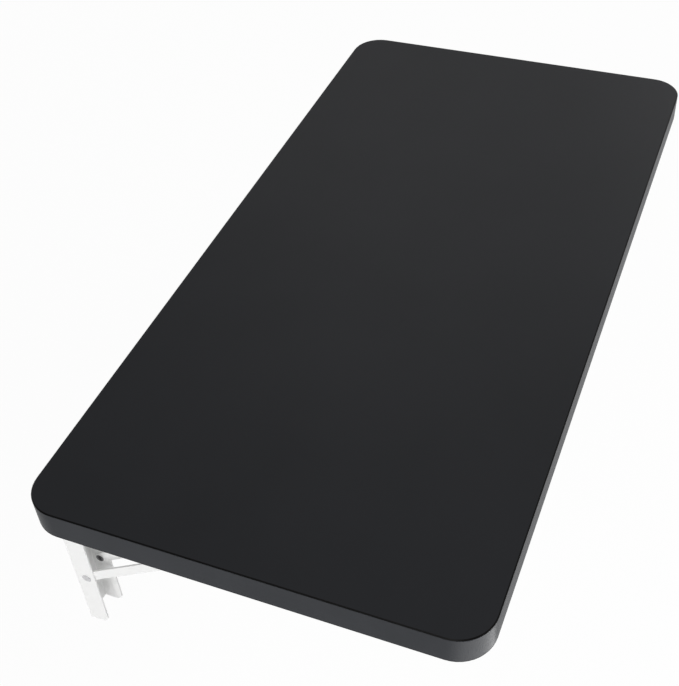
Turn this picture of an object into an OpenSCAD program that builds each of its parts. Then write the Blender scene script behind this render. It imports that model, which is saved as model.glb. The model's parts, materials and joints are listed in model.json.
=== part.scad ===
// Wall-mounted folding table: a rounded board carried by two folding brackets.
// Each bracket is a wall channel, a slotted arm hinged inside it, a pair of
// brace bars pivoted on the channel and a spring lever under the arm that
// latches the sliding brace pin. All lengths are in millimetres.
// Frame: X runs along the wall, the wall is the plane Y = 0, the board reaches
// towards -Y and Z is up. The origin is the centre of the wall screw pattern.

/* [Board] */
// Length of the board along the wall
board_l = 800; // [760:10:1200]
// Depth of the board, from its wall edge to its room edge
board_d = 400; // [370:5:600]
// Thickness of the board
board_t = 30; // [22:1:40]
// Plan radius of the board's four corners
corner_r = 32; // [15:1:80]
// Thickness of the plastic edge band
band_t = 2; // [1:0.5:3]
// Radius on the edge band's two outer rims, which leaves a groove under the laminate
band_rim_r = 0.7; // [0.3:0.1:0.9]
// Thickness of the laminate on each face
laminate_t = 1.2; // [0.8:0.1:1.5]
// Height of the laminate's upright rim under its bevel
laminate_rim_h = 0.2; // [0.1:0.05:0.4]
// Gap between the wall and the board's wall edge
wall_gap = 2; // [1:0.5:3]

/* [Bracket placing] */
// Distance from the board's short ends in to the brackets' middle planes
bracket_inset = 50; // [45:5:200]

/* [Wall channel] */
// Length of the wall channel
channel_len = 185; // [182:1:230]
// Sheet thickness of the wall channel
channel_t = 1.6; // [1.2:0.1:2]
// Outer radius of the channel's two long bends
channel_bend_r = 2.6; // [2.2:0.1:3.5]
// Radius of the channel's lower front corners
channel_foot_r = 8; // [3:0.5:12]
// Radius of the wall screw holes
wall_hole_r = 2.75; // [2:0.05:3.5]
// Height of the top wall screw hole under the channel's top end
first_hole_drop = 28; // [20:1:30]
// Distance between neighbouring wall screw holes
wall_hole_pitch = 70; // [60:1:72]

/* [Main hinge] */
// Distance of the hinge axis from the wall
hinge_off = 12.5; // [11.5:0.1:14]
// Radius of the channel's ears around the hinge axis
ear_r = 9; // [7.5:0.1:9.2]
// Drop of the hinge axis under the board
hinge_drop = 9.5; // [9.5:0.1:10.5]
// Radius of the hinge pin
hinge_pin_r = 3; // [2.5:0.1:3.5]

/* [Arm] */
// Length of the arm
arm_len = 350; // [345:1:380]
// Outer width of the arm
arm_w = 16; // [14:0.5:20]
// Height of the arm
arm_h = 15.5; // [15:0.1:16.5]
// Sheet thickness of the arm
arm_t = 1.5; // [1:0.1:1.8]
// Outer radius of the arm's two long bends
arm_bend_r = 2.2; // [2:0.1:2.6]
// Radius of the arm's lower front corners
arm_nose_r = 7; // [3:0.5:9]
// Distance along the arm from the hinge axis to the relief slit
slit_s = 108; // [90:1:130]
// Width of the relief slit
slit_w = 1.5; // [1:0.1:2.5]
// Height of the relief slit, up from the arm's open edge
slit_h = 7.5; // [4:0.5:8]

/* [Brace and slot] */
// Distance from the hinge axis down to the brace's foot pivot
foot_drop = 108; // [104:1:116]
// Distance along the arm from the hinge axis to the latched brace pin
latch_s = 168; // [160:1:170]
// Distance from the slot's outer end to the arm's front end
slot_nose = 16; // [12:1:20]
// Depth of the slot's centre line under the board
slot_drop = 5.6; // [5.5:0.1:5.9]
// Radius of the sliding pin
slide_pin_r = 2.25; // [1.8:0.05:2.3]
// Width of a brace bar
bar_w = 10.4; // [8:0.2:10.4]
// Thickness of a brace bar
bar_t = 1.8; // [1.5:0.1:2.5]
// Radius of the foot rivets
foot_rivet_r = 3; // [2:0.1:3.2]
// Radius of the rivets at the braces' upper ends
top_rivet_r = 2.25; // [1.8:0.05:2.6]

/* [Release lever] */
// Distance along the arm from the hinge axis to the lever's pivot
lever_s = 196; // [194:1:200]
// Depth of the lever's pivot under the board
lever_drop = 11; // [10.8:0.1:11.2]
// Sheet thickness of the lever
lever_t = 1.2; // [0.8:0.1:1.5]
// Depth of the finger tab's lowest rim under the board
tab_drop = 21.5; // [20.6:0.1:21.6]
// Radius of the lever pin
lever_pin_r = 1.6; // [1.3:0.05:1.6]
// Diameter of the spring wire
wire_d = 0.7; // [0.5:0.05:0.8]
// Whole turns of the spring
spring_turns = 5; // [3:1:7]

/* [Fasteners] */
// Radius of the board screws' shanks
screw_r = 2; // [1.5:0.1:2.4]
// Depth of the board screws in the board
screw_depth = 16; // [8:1:18]
// Radius of the board screws' heads
screw_head_r = 3.8; // [3:0.1:4.2]
// Height of the board screws' heads
screw_head_h = 2; // [1.5:0.1:2.2]

/* [Clearances] */
// Side gap between neighbouring bracket layers
side_gap = 0.3; // [0.25:0.05:0.5]
// Gap between the arm's rear end and the channel's web
back_gap = 0.9; // [0.5:0.1:1.2]
// Radial clearance of a turning joint
turn_fit = 0.06; // [0.03:0.01:0.1]
// Radial clearance of the sliding pin in its slot
slide_fit = 0.2; // [0.1:0.05:0.3]
// Radial clearance of a pin or screw that stays put
fixed_fit = 0.02; // [0.01:0.01:0.05]

/* [Hidden] */
$fn = 64;

// Overlap that carries a cut past the surface it starts from
cut = 1;

// Height of the edge band between the two laminates, and width of their bevels
band_h = board_t - 2 * laminate_t;
laminate_bevel = laminate_t - laminate_rim_h;

// Distance of each bracket's middle plane from the board's middle
bracket_x = board_l / 2 - bracket_inset;

// Side view of a bracket: u is the distance from the wall, z the height.
channel_d = hinge_off + ear_r;
hinge_z = first_hole_drop + wall_hole_pitch - ear_r;
channel_top = hinge_z + ear_r;
channel_bottom = channel_top - channel_len;
board_bottom = hinge_z + hinge_drop;
board_top = board_bottom + board_t;
arm_back = channel_t + back_gap;
arm_front = arm_back + arm_len;
arm_bottom = board_bottom - arm_h;
arm_ear_r = hinge_off - arm_back;
slot_z = board_bottom - slot_drop;
slot_r = slide_pin_r + slide_fit;
slot_end_s = arm_front - hinge_off - slot_nose;
foot_z = hinge_z - foot_drop;
latch_u = hinge_off + latch_s;
lever_u = hinge_off + lever_s;
lever_z = board_bottom - lever_drop;

// Cross layers of a bracket, each as a distance from its middle plane.
arm_side = arm_w / 2;
lever_in = arm_side + side_gap;
lever_out = lever_in + lever_t;
lever_head_gap = 0.1;
lever_head_t = 0.5;
bar_in = lever_out + lever_head_gap + lever_head_t + side_gap;
bar_out = bar_in + bar_t;
channel_in = bar_out + side_gap;
channel_side = channel_in + channel_t;
channel_w = 2 * channel_side;

// Rivet heads and tails: the rims by which they stand out round their shanks.
head_h = 1.3;
hinge_head_r = hinge_pin_r + 1.7;
spacer_r = hinge_pin_r + 3;
foot_head_r = foot_rivet_r + 1.5;
foot_rim_r = foot_rivet_r + 1;
foot_rim_t = 0.8;
top_head_r = top_rivet_r + 1.3;
lever_head_r = lever_pin_r + 1.5;
bore_share = 0.5;
bore_depth = 2.2;
dimple_depth = 0.8;

// Board screws: distances along the arm, clear of the sliding pin's travel.
rear_screw_s = 32;
middle_screw_s = 136;
screw_s = [rear_screw_s, middle_screw_s, slot_end_s + slot_nose / 2];
screw_tip_h = 3;

// Small anchor hole in the arm's walls beyond the lever.
anchor_s = lever_s + 28;
anchor_drop = 10.2;
anchor_r = 0.9;

// Release lever in side view: distances from its pivot and depths under the board.
hook_reach = 15.5;
hook_low = lever_drop + 0.5;
cover_drop = slot_drop - 2.2;
plate_low = lever_drop + 3.7;
tab_start = 17;
tab_end = 34.5;
tab_web_drop = arm_h + 2.2;
tab_web_fall = 2;
corner_steps = 5;
lever_corners = [
    [-hook_reach, hook_low, 1],
    [-hook_reach, cover_drop + 1.6, 1],
    [-hook_reach + 2, cover_drop, 1.2],
    [-6, cover_drop, 3],
    [1.5, slot_drop + slot_r - 0.6, 3],
    [11, slot_drop + slot_r - 0.2, 2],
    [tab_start - 1.5, lever_drop - 0.5, 2],
    [tab_start, tab_web_drop, 1],
    [tab_end - 1, tab_web_drop + tab_web_fall, 0.8],
    [tab_end, tab_drop - 0.5, 0.3],
    [tab_end - 1, tab_drop, 0.3],
    [tab_start + 5, tab_drop, 4],
    [10.5, plate_low, 3],
    [-2, plate_low, 3],
    [-hook_reach + 4.5, hook_low + 2, 2]
];

// Return spring: a torsion coil on the lever pin. One leg bears down on the tab,
// the other up under the arm's wall. Points are [x, u, z] from the lever's pivot.
coil_r = lever_pin_r + 0.35 + wire_d / 2;
coil_gap = 0.5;
coil_pitch = wire_d + coil_gap;
ring_sides = 6;
coil_steps = 8;
wire_rest = 0.05;
tab_touch_s = 24;
tab_touch = [
    tab_touch_s,
    lever_drop + wire_d / 2 + wire_rest - tab_web_drop
        - tab_web_fall * (tab_touch_s - tab_start) / (tab_end - 1 - tab_start)
];
wall_touch = [-11, lever_drop - arm_h - side_gap - wire_d / 2];
coil_from = atan2(tab_touch[1], tab_touch[0]) + acos(coil_r / norm(tab_touch));
coil_to = 360 * spring_turns + 360 + atan2(wall_touch[1], wall_touch[0])
    - acos(coil_r / norm(wall_touch));
coil_half = coil_pitch * (coil_to - coil_from) / 720;
coil_count = ceil((coil_to - coil_from) / 360 * coil_steps);
spring_path = concat(
    [[coil_half, tab_touch[0], tab_touch[1]]],
    [for (i = [0 : coil_count])
        let (a = coil_from + (coil_to - coil_from) * i / coil_count)
        [coil_half - 2 * coil_half * i / coil_count, coil_r * cos(a), coil_r * sin(a)]],
    [
        [-coil_half, wall_touch[0], wall_touch[1]],
        [-coil_half - 1, wall_touch[0] - 0.8, wall_touch[1]],
        [-arm_side + arm_t / 2, wall_touch[0] - 1.6, wall_touch[1]]
    ]
);

function unit(v) = v / norm(v);

// Signed turn from angle a to angle b, the short way round
function turn(a, b) = (b - a) - 360 * round((b - a) / 360);

// Arc that rounds corner i of the outline c, whose corners are [u, z, radius]
function corner_arc(c, i) =
    let (
        n = len(c),
        p = [c[i][0], c[i][1]],
        back = unit([c[(i + n - 1) % n][0], c[(i + n - 1) % n][1]] - p),
        ahead = unit([c[(i + 1) % n][0], c[(i + 1) % n][1]] - p),
        half = acos(back * ahead) / 2,
        centre = p + unit(back + ahead) * c[i][2] / sin(half),
        first = p + back * c[i][2] / tan(half) - centre,
        last = p + ahead * c[i][2] / tan(half) - centre,
        start = atan2(first[1], first[0]),
        sweep = turn(start, atan2(last[1], last[0]))
    )
    [for (k = [0 : corner_steps])
        centre + c[i][2] * [cos(start + sweep * k / corner_steps), sin(start + sweep * k / corner_steps)]];

function rounded(c) = [for (i = [0 : len(c) - 1]) each corner_arc(c, i)];

// Direction of the path p at point i
function heading(p, i) = unit(p[min(i + 1, len(p) - 1)] - p[max(i - 1, 0)]);

// Side vectors carried along the path p without twist
function carried(p) =
    [for (i = 0, v = unit(cross(heading(p, 0), [1, 0, 0.2]));
        i < len(p);
        i = i + 1,
        v = i < len(p) ? unit(v - (v * heading(p, i)) * heading(p, i)) : v) v];

// Least gap of the wound wire to itself, measured between its path's points
function wire_gap(p) =
    min([for (i = [0 : len(p) - 1])
        for (j = [i + coil_steps - 2 : 1 : len(p) - 1]) norm(p[i] - p[j])]) - wire_d;

// Rounded rectangle with its centre at the origin
module rounded_rect(l, w, r) {
    square([l - 2 * r, w], center = true);
    square([l, w - 2 * r], center = true);
    for (x = [-1, 1])
        for (y = [-1, 1])
            translate([x * (l / 2 - r), y * (w / 2 - r)])
                circle(r);
}

module disc(u, z, r) {
    translate([u, z])
        circle(r);
}

// Strip of width w whose round ends are centred on two points of the side view
module capsule(from, to, w) {
    run = to - from;
    translate(from)
        rotate(atan2(run[1], run[0]))
            translate([0, -w / 2])
                square([norm(run), w]);
    disc(from[0], from[1], w / 2);
    disc(to[0], to[1], w / 2);
}

// Plate between two cross positions, from a side view drawn as (u, z)
module side_plate(from, to) {
    translate([to, 0, 0])
        rotate([90, 0, -90])
            linear_extrude(to - from)
                children();
}

// The same plate on both sides of the bracket's middle plane
module both_plates(from, to) {
    side_plate(from, to)
        children();
    side_plate(-to, -from)
        children();
}

// Round bar across the bracket
module cross_bar(r, from, to, u, z) {
    translate([from, -u, z])
        rotate([0, 90, 0])
            cylinder(r = r, h = to - from);
}

// Round bore right through the bracket
module cross_bore(r, u, z) {
    cross_bar(r, -channel_side - cut, channel_side + cut, u, z);
}

// Low domed head standing on the plane z = 0
module domed_head(r, h) {
    dome_r = (r * r + h * h) / (2 * h);
    rotate_extrude()
        intersection() {
            translate([0, h - dome_r])
                circle(dome_r);
            square([r, h]);
        }
}

// Domed head on the outer face at cross position x
module cross_head(r, h, x, u, z) {
    translate([x, -u, z])
        rotate([0, 90, 0])
            domed_head(r, h);
}

module both_sides() {
    children();
    mirror([1, 0, 0])
        children();
}

// Solid bar with rounded upper edges: the outside of a bent channel's section
module bent_outside(w, h, r) {
    translate([-w / 2, -h])
        square([w, h - r]);
    translate([r - w / 2, -h])
        square([w - 2 * r, h]);
    disc(r - w / 2, -r, r);
    disc(w / 2 - r, -r, r);
}

// Section of a channel bent from sheet, its web at the top
module channel_section(w, h, t, r) {
    difference() {
        bent_outside(w, h, r);
        translate([0, -t])
            bent_outside(w - 2 * t, h, r - t);
    }
}

module board_plan(inset) {
    translate([0, -wall_gap - board_d / 2])
        rounded_rect(board_l - 2 * inset, board_d - 2 * inset, corner_r - inset);
}

module screw_holes() {
    for (x = [-1, 1])
        for (s = screw_s)
            translate([x * bracket_x, -hinge_off - s, board_bottom - cut])
                cylinder(r = screw_r + fixed_fit, h = screw_depth + cut);
}

module board_core() {
    color("peru")
        difference() {
            translate([0, 0, board_bottom + laminate_t])
                linear_extrude(board_t - 2 * laminate_t)
                    board_plan(band_t + fixed_fit);
            screw_holes();
        }
}

// Section of the laminate's border, twice as wide as the bevel on its outer half
module bevel_section() {
    polygon([
        [0, 0],
        [2 * laminate_bevel, 0],
        [2 * laminate_bevel, laminate_rim_h],
        [laminate_bevel, laminate_t],
        [0, laminate_t]
    ]);
}

// Section of the edge band: x is the distance out from its inner face
module band_section() {
    intersection() {
        square([band_t, band_h]);
        union() {
            square([band_t - band_rim_r, band_h]);
            translate([0, band_rim_r])
                square([band_t, band_h - 2 * band_rim_r]);
            disc(band_t - band_rim_r, band_rim_r, band_rim_r);
            disc(band_t - band_rim_r, band_h - band_rim_r, band_rim_r);
        }
    }
}

// Straight border of width w along X, from its section; its outer face is at the given reach
module border_run(len, reach, w) {
    translate([-len / 2, reach - w, 0])
        rotate([90, 0, 90])
            linear_extrude(len)
                children();
}

module border_corner(w) {
    translate([board_l / 2 - corner_r, board_d / 2 - corner_r, 0])
        rotate_extrude(angle = 90)
            translate([corner_r - w, 0])
                children();
}

// Border of width w all round the board, its section standing on z = 0
module border(w) {
    translate([0, -wall_gap - board_d / 2, 0]) {
        for (a = [0, 180]) {
            rotate(a)
                border_run(board_l - 2 * corner_r, board_d / 2, w)
                    children();
            rotate(a + 90)
                border_run(board_d - 2 * corner_r, board_l / 2, w)
                    children();
        }
        for (x = [0, 1])
            for (y = [0, 1])
                mirror([x, 0, 0])
                    mirror([0, y, 0])
                        border_corner(w)
                            children();
    }
}

// Laminate that laps over the edge band; its face is up and its back on z = 0
module laminate() {
    linear_extrude(laminate_t)
        board_plan(1.5 * laminate_bevel);
    border(2 * laminate_bevel)
        bevel_section();
}

module top_laminate() {
    color("dimgray")
        translate([0, 0, board_top - laminate_t])
            laminate();
}

module bottom_laminate() {
    color("dimgray")
        difference() {
            translate([0, 0, board_bottom + laminate_t])
                mirror([0, 0, 1])
                    laminate();
            screw_holes();
        }
}

module edge_band() {
    color("slategray")
        translate([0, 0, board_bottom + laminate_t])
            border(band_t)
                band_section();
}

// Side view of the wall channel; its upper front corner turns about the hinge
module channel_outline() {
    translate([0, channel_bottom])
        square([channel_d - channel_foot_r, channel_len / 2]);
    translate([0, channel_bottom + channel_foot_r])
        square([channel_d, hinge_z - channel_bottom - channel_foot_r]);
    disc(channel_d - channel_foot_r, channel_bottom + channel_foot_r, channel_foot_r);
    translate([0, hinge_z])
        square([hinge_off, ear_r]);
    disc(hinge_off, hinge_z, ear_r);
}

module wall_channel() {
    difference() {
        intersection() {
            translate([0, 0, channel_bottom])
                linear_extrude(channel_len)
                    channel_section(channel_w, channel_d, channel_t, channel_bend_r);
            side_plate(-channel_side - cut, channel_side + cut)
                channel_outline();
        }
        cross_bore(hinge_pin_r + fixed_fit, hinge_off, hinge_z);
        cross_bore(foot_rivet_r + fixed_fit, hinge_off, foot_z);
        for (i = [-1, 0, 1])
            translate([0, cut, i * wall_hole_pitch])
                rotate([90, 0, 0])
                    cylinder(r = wall_hole_r, h = channel_t + 2 * cut);
    }
}

module hinge_pin() {
    cross_bar(hinge_pin_r, -channel_side, channel_side, hinge_off, hinge_z);
    both_sides()
        cross_head(hinge_head_r, head_h, channel_side, hinge_off, hinge_z);
}

// Short tubular rivets that carry the braces in the channel's two flanges
module foot_rivets() {
    rim_out = bar_in - side_gap;
    both_sides()
        difference() {
            union() {
                cross_bar(foot_rivet_r, rim_out, channel_side, hinge_off, foot_z);
                cross_bar(foot_rim_r, rim_out - foot_rim_t, rim_out, hinge_off, foot_z);
                cross_head(foot_head_r, head_h, channel_side, hinge_off, foot_z);
            }
            cross_bar(foot_rivet_r * bore_share, rim_out - foot_rim_t - cut,
                rim_out - foot_rim_t + bore_depth, hinge_off, foot_z);
        }
}

// Side view of the arm: its lower rear corner turns about the hinge
module arm_outline() {
    intersection() {
        translate([arm_back, arm_bottom])
            square([2 * arm_ear_r, arm_h]);
        union() {
            disc(hinge_off, hinge_z, arm_ear_r);
            translate([arm_back, hinge_z])
                square([arm_ear_r, hinge_drop]);
        }
    }
    translate([hinge_off, arm_bottom])
        square([arm_front - hinge_off - arm_nose_r, arm_h]);
    translate([hinge_off, arm_bottom + arm_nose_r])
        square([arm_front - hinge_off, arm_h - arm_nose_r]);
    disc(arm_front - arm_nose_r, arm_bottom + arm_nose_r, arm_nose_r);
}

module arm_channel() {
    difference() {
        intersection() {
            translate([0, -arm_back, board_bottom])
                rotate([90, 0, 0])
                    linear_extrude(arm_len)
                        channel_section(arm_w, arm_h, arm_t, arm_bend_r);
            side_plate(-arm_side - cut, arm_side + cut)
                arm_outline();
        }
        side_plate(-arm_side - cut, arm_side + cut)
            capsule([latch_u, slot_z], [hinge_off + slot_end_s - slot_r, slot_z], 2 * slot_r);
        side_plate(-arm_side - cut, arm_side + cut)
            translate([hinge_off + slit_s - slit_w / 2, arm_bottom - cut])
                square([slit_w, slit_h + cut]);
        cross_bore(hinge_pin_r + turn_fit, hinge_off, hinge_z);
        cross_bore(lever_pin_r + fixed_fit, lever_u, lever_z);
        cross_bore(anchor_r, hinge_off + anchor_s, board_bottom - anchor_drop);
        for (s = screw_s)
            translate([0, -hinge_off - s, board_bottom - arm_t - cut])
                cylinder(r = screw_r + fixed_fit, h = arm_t + 2 * cut);
    }
}

// Collars that centre the arm between the channel's flanges
module hinge_spacers() {
    both_sides()
        difference() {
            cross_bar(spacer_r, arm_side, bar_out, hinge_off, hinge_z);
            cross_bore(hinge_pin_r + turn_fit, hinge_off, hinge_z);
        }
}

module board_screws() {
    for (s = screw_s)
        translate([0, -hinge_off - s, board_bottom - arm_t]) {
            cylinder(r = screw_r, h = arm_t + screw_depth - screw_tip_h);
            translate([0, 0, arm_t + screw_depth - screw_tip_h])
                cylinder(r1 = screw_r, r2 = 0.3, h = screw_tip_h);
            mirror([0, 0, 1])
                domed_head(screw_head_r, screw_head_h);
        }
}

module brace_bar() {
    side_plate(bar_in, bar_out)
        difference() {
            capsule([hinge_off, foot_z], [latch_u, slot_z], bar_w);
            disc(hinge_off, foot_z, foot_rivet_r + turn_fit);
            disc(latch_u, slot_z, top_rivet_r + fixed_fit);
        }
}

// Rivets at the upper ends of the two bars, each with a dimpled head
module brace_rivets() {
    both_sides()
        difference() {
            union() {
                cross_bar(top_rivet_r, bar_in, bar_out, latch_u, slot_z);
                cross_head(top_head_r, head_h, bar_out, latch_u, slot_z);
            }
            cross_bar(top_rivet_r * bore_share, bar_out + head_h - dimple_depth,
                bar_out + head_h + cut, latch_u, slot_z);
        }
}

// Pin that runs in the arm's two slots, bored out at both ends
module slide_pin() {
    difference() {
        cross_bar(slide_pin_r, -arm_side, arm_side, latch_u, slot_z);
        both_sides()
            cross_bar(slide_pin_r * bore_share, arm_side - bore_depth, arm_side + cut, latch_u, slot_z);
    }
}

module lever_outline() {
    translate([lever_u, board_bottom])
        mirror([0, 1])
            polygon(rounded(lever_corners));
}

// Web over the finger tab, with the lip that closes its tip
module tab_web() {
    intersection() {
        difference() {
            lever_outline();
            translate([-lever_t, -lever_t])
                lever_outline();
        }
        translate([lever_u + tab_start, board_bottom - tab_drop - cut])
            square([tab_end - tab_start + cut, tab_drop - tab_web_drop + cut]);
    }
}

module release_lever() {
    difference() {
        union() {
            both_plates(lever_in, lever_out)
                lever_outline();
            side_plate(-lever_out, lever_out)
                tab_web();
        }
        cross_bore(lever_pin_r + turn_fit, lever_u, lever_z);
    }
}

module lever_pin() {
    cross_bar(lever_pin_r, -lever_out - lever_head_gap, lever_out + lever_head_gap, lever_u, lever_z);
    both_sides()
        cross_head(lever_head_r, lever_head_t, lever_out + lever_head_gap, lever_u, lever_z);
}

// Tube of the wire's thickness swept along the path p
module swept_wire(p) {
    n = len(p);
    sides = carried(p);
    points = [for (i = [0 : n - 1])
        let (v = sides[i], w = cross(heading(p, i), v))
        for (k = [0 : ring_sides - 1])
            p[i] + wire_d / 2 * (v * cos(360 * k / ring_sides) + w * sin(360 * k / ring_sides))];
    walls = [for (i = [0 : n - 2])
        for (k = [0 : ring_sides - 1])
            let (
                a = i * ring_sides + k,
                b = i * ring_sides + (k + 1) % ring_sides
            )
            each [[a, a + ring_sides, b], [b, a + ring_sides, b + ring_sides]]];
    caps = [for (k = [1 : ring_sides - 2])
        each [
            [0, k, k + 1],
            [(n - 1) * ring_sides, (n - 1) * ring_sides + k + 1, (n - 1) * ring_sides + k]
        ]];
    polyhedron(points, concat(walls, caps));
}

module lever_spring() {
    translate([0, -lever_u, lever_z])
        swept_wire([for (q = spring_path) [q[0], -q[1], q[2]]]);
}

// Brackets are drawn round X = 0, their outer side towards +X.
module on_left() {
    translate([-bracket_x, 0, 0])
        mirror([1, 0, 0])
            children();
}

module on_right() {
    translate([bracket_x, 0, 0])
        children();
}

module left_wall_channel() {
    color("white")
        on_left()
            wall_channel();
}

module left_hinge_pin() {
    color("silver")
        on_left()
            hinge_pin();
}

module left_foot_rivets() {
    color("silver")
        on_left()
            foot_rivets();
}

module left_arm_channel() {
    color("whitesmoke")
        on_left()
            arm_channel();
}

module left_hinge_spacers() {
    color("gainsboro")
        on_left()
            hinge_spacers();
}

module left_board_screws() {
    color("silver")
        on_left()
            board_screws();
}

module left_brace_outer() {
    color("ghostwhite")
        on_left()
            brace_bar();
}

module left_brace_inner() {
    color("ghostwhite")
        on_left()
            mirror([1, 0, 0])
                brace_bar();
}

module left_brace_rivets() {
    color("silver")
        on_left()
            brace_rivets();
}

module left_slide_pin() {
    color("silver")
        on_left()
            slide_pin();
}

module left_release_lever() {
    color("lightgray")
        on_left()
            release_lever();
}

module left_lever_pin() {
    color("silver")
        on_left()
            lever_pin();
}

module left_lever_spring() {
    color("darkgray")
        on_left()
            lever_spring();
}

module right_wall_channel() {
    color("white")
        on_right()
            wall_channel();
}

module right_hinge_pin() {
    color("silver")
        on_right()
            hinge_pin();
}

module right_foot_rivets() {
    color("silver")
        on_right()
            foot_rivets();
}

module right_arm_channel() {
    color("whitesmoke")
        on_right()
            arm_channel();
}

module right_hinge_spacers() {
    color("gainsboro")
        on_right()
            hinge_spacers();
}

module right_board_screws() {
    color("silver")
        on_right()
            board_screws();
}

module right_brace_outer() {
    color("ghostwhite")
        on_right()
            brace_bar();
}

module right_brace_inner() {
    color("ghostwhite")
        on_right()
            mirror([1, 0, 0])
                brace_bar();
}

module right_brace_rivets() {
    color("silver")
        on_right()
            brace_rivets();
}

module right_slide_pin() {
    color("silver")
        on_right()
            slide_pin();
}

module right_release_lever() {
    color("lightgray")
        on_right()
            release_lever();
}

module right_lever_pin() {
    color("silver")
        on_right()
            lever_pin();
}

module right_lever_spring() {
    color("darkgray")
        on_right()
            lever_spring();
}

echo(least_spring_gap = wire_gap(spring_path));

board_core();
top_laminate();
bottom_laminate();
edge_band();
left_wall_channel();
left_hinge_pin();
left_foot_rivets();
left_arm_channel();
left_hinge_spacers();
left_board_screws();
left_brace_outer();
left_brace_inner();
left_brace_rivets();
left_slide_pin();
left_release_lever();
left_lever_pin();
left_lever_spring();
right_wall_channel();
right_hinge_pin();
right_foot_rivets();
right_arm_channel();
right_hinge_spacers();
right_board_screws();
right_brace_outer();
right_brace_inner();
right_brace_rivets();
right_slide_pin();
right_release_lever();
right_lever_pin();
right_lever_spring();
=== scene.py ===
# %% [markdown]
# # A folding wall table, dressed
#
# The table is a dark board, 800 by 400 by 30 mm, on two white folding brackets. Its shape and its joints come
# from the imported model, which this script loads and never changes. What the script adds is the finish of every
# surface, the turned rivets, the wound springs and the screws, and a small studio to look at them in.
#
# Everything is in metres: X runs along the wall, the room lies towards -Y and Z is up.

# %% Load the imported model
import json
import math

import bmesh
import bpy
from mathutils import Matrix, Vector


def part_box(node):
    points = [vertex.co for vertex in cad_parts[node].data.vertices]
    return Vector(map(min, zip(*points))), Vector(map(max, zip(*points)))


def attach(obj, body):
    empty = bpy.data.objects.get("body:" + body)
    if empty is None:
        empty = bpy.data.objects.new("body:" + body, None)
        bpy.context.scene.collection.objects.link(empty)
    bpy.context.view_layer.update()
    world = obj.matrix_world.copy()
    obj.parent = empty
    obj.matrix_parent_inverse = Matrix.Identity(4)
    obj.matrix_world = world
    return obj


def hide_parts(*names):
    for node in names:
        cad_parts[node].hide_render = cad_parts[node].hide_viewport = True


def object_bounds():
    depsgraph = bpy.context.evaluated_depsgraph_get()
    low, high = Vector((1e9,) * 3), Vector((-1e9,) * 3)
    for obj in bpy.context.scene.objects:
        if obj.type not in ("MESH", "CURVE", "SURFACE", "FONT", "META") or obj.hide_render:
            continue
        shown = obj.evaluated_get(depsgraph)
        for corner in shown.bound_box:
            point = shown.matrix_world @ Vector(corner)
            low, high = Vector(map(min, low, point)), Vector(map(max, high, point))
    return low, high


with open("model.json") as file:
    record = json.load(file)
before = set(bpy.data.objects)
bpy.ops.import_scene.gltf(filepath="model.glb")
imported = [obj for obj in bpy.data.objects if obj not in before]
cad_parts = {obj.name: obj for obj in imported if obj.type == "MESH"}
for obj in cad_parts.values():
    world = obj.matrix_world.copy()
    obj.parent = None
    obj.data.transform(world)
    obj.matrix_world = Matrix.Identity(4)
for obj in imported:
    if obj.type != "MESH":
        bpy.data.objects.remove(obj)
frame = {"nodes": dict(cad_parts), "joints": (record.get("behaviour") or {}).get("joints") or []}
nodes = frame["nodes"]
joint_at = {j["name"]: Vector(j["pos_m"]) for j in frame["joints"] if "pos_m" in j}
cad_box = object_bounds()
MM = 0.001
SIDES = ("left", "right")
print(len(nodes), "nodes from", tuple(cad_box[0]), "to", tuple(cad_box[1]))

# %% [markdown]
# ## The camera
#
# A photograph of a rectangle tells where its camera stood. The board's straight edges were measured, and a pinhole
# camera was fitted to them with the board's real proportions held. It stood at the near short end, 0.73 m above
# the board, looking down by 43.6 degrees. The numbers below are that fit, so the render has the photograph's
# perspective. `Matrix.Rotation` steps turn a camera that looks straight down into that pose, which reads more
# plainly than a table of nine numbers.

# %% Place the camera
CAMERA_AT = Vector((-0.82944, -0.50502, 0.85452))
LOOK_DOWN = math.radians(43.572)
HEADING = math.radians(24.927)
ROLL = math.radians(-4.523)
FOCAL_MM = 59.964
SENSOR_MM = 36.0

camera_data = bpy.data.cameras.new("studio_camera")
camera_data.sensor_width = SENSOR_MM
camera_data.lens = FOCAL_MM
camera = bpy.data.objects.new("studio_camera", camera_data)
tilt = Matrix.Rotation(math.pi / 2 - LOOK_DOWN, 4, "X")
swing = Matrix.Rotation(HEADING - math.pi / 2, 4, "Z")
camera.matrix_world = Matrix.Translation(CAMERA_AT) @ swing @ tilt @ Matrix.Rotation(ROLL, 4, "Z")
bpy.context.scene.collection.objects.link(camera)
bpy.context.scene.camera = camera
print("camera looks along", tuple(round(v, 3) for v in -camera.matrix_world.col[2].xyz))

# %% [markdown]
# ## The white room
#
# The photograph stands on pure white. More light could make the background that white, but it would wash the
# object out as well. So the world gives two answers: camera and glossy rays see plain white, and every other ray
# sees a mild grey. Dark surfaces then mirror a white room, and their own colours stay.

# %% Make the white room
scene = bpy.context.scene
scene.view_settings.view_transform = "Standard"


def add_node(tree, kind, values=None, **settings):
    """Adds a shader node, sets its plain settings and the values of its sockets."""
    node = tree.nodes.new(kind)
    for key, value in settings.items():
        setattr(node, key, value)
    for key, value in (values or {}).items():
        node.inputs[key].default_value = value
    return node


def seen_directly(tree):
    """1 for rays that show a background: from the camera, off gloss or through glass."""
    path = add_node(tree, "ShaderNodeLightPath")
    either = add_node(tree, "ShaderNodeMath", operation="MAXIMUM")
    tree.links.new(path.outputs["Is Camera Ray"], either.inputs[0])
    tree.links.new(path.outputs["Is Glossy Ray"], either.inputs[1])
    any_of = add_node(tree, "ShaderNodeMath", operation="MAXIMUM")
    tree.links.new(either.outputs[0], any_of.inputs[0])
    tree.links.new(path.outputs["Is Transmission Ray"], any_of.inputs[1])
    return any_of.outputs[0]


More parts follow.
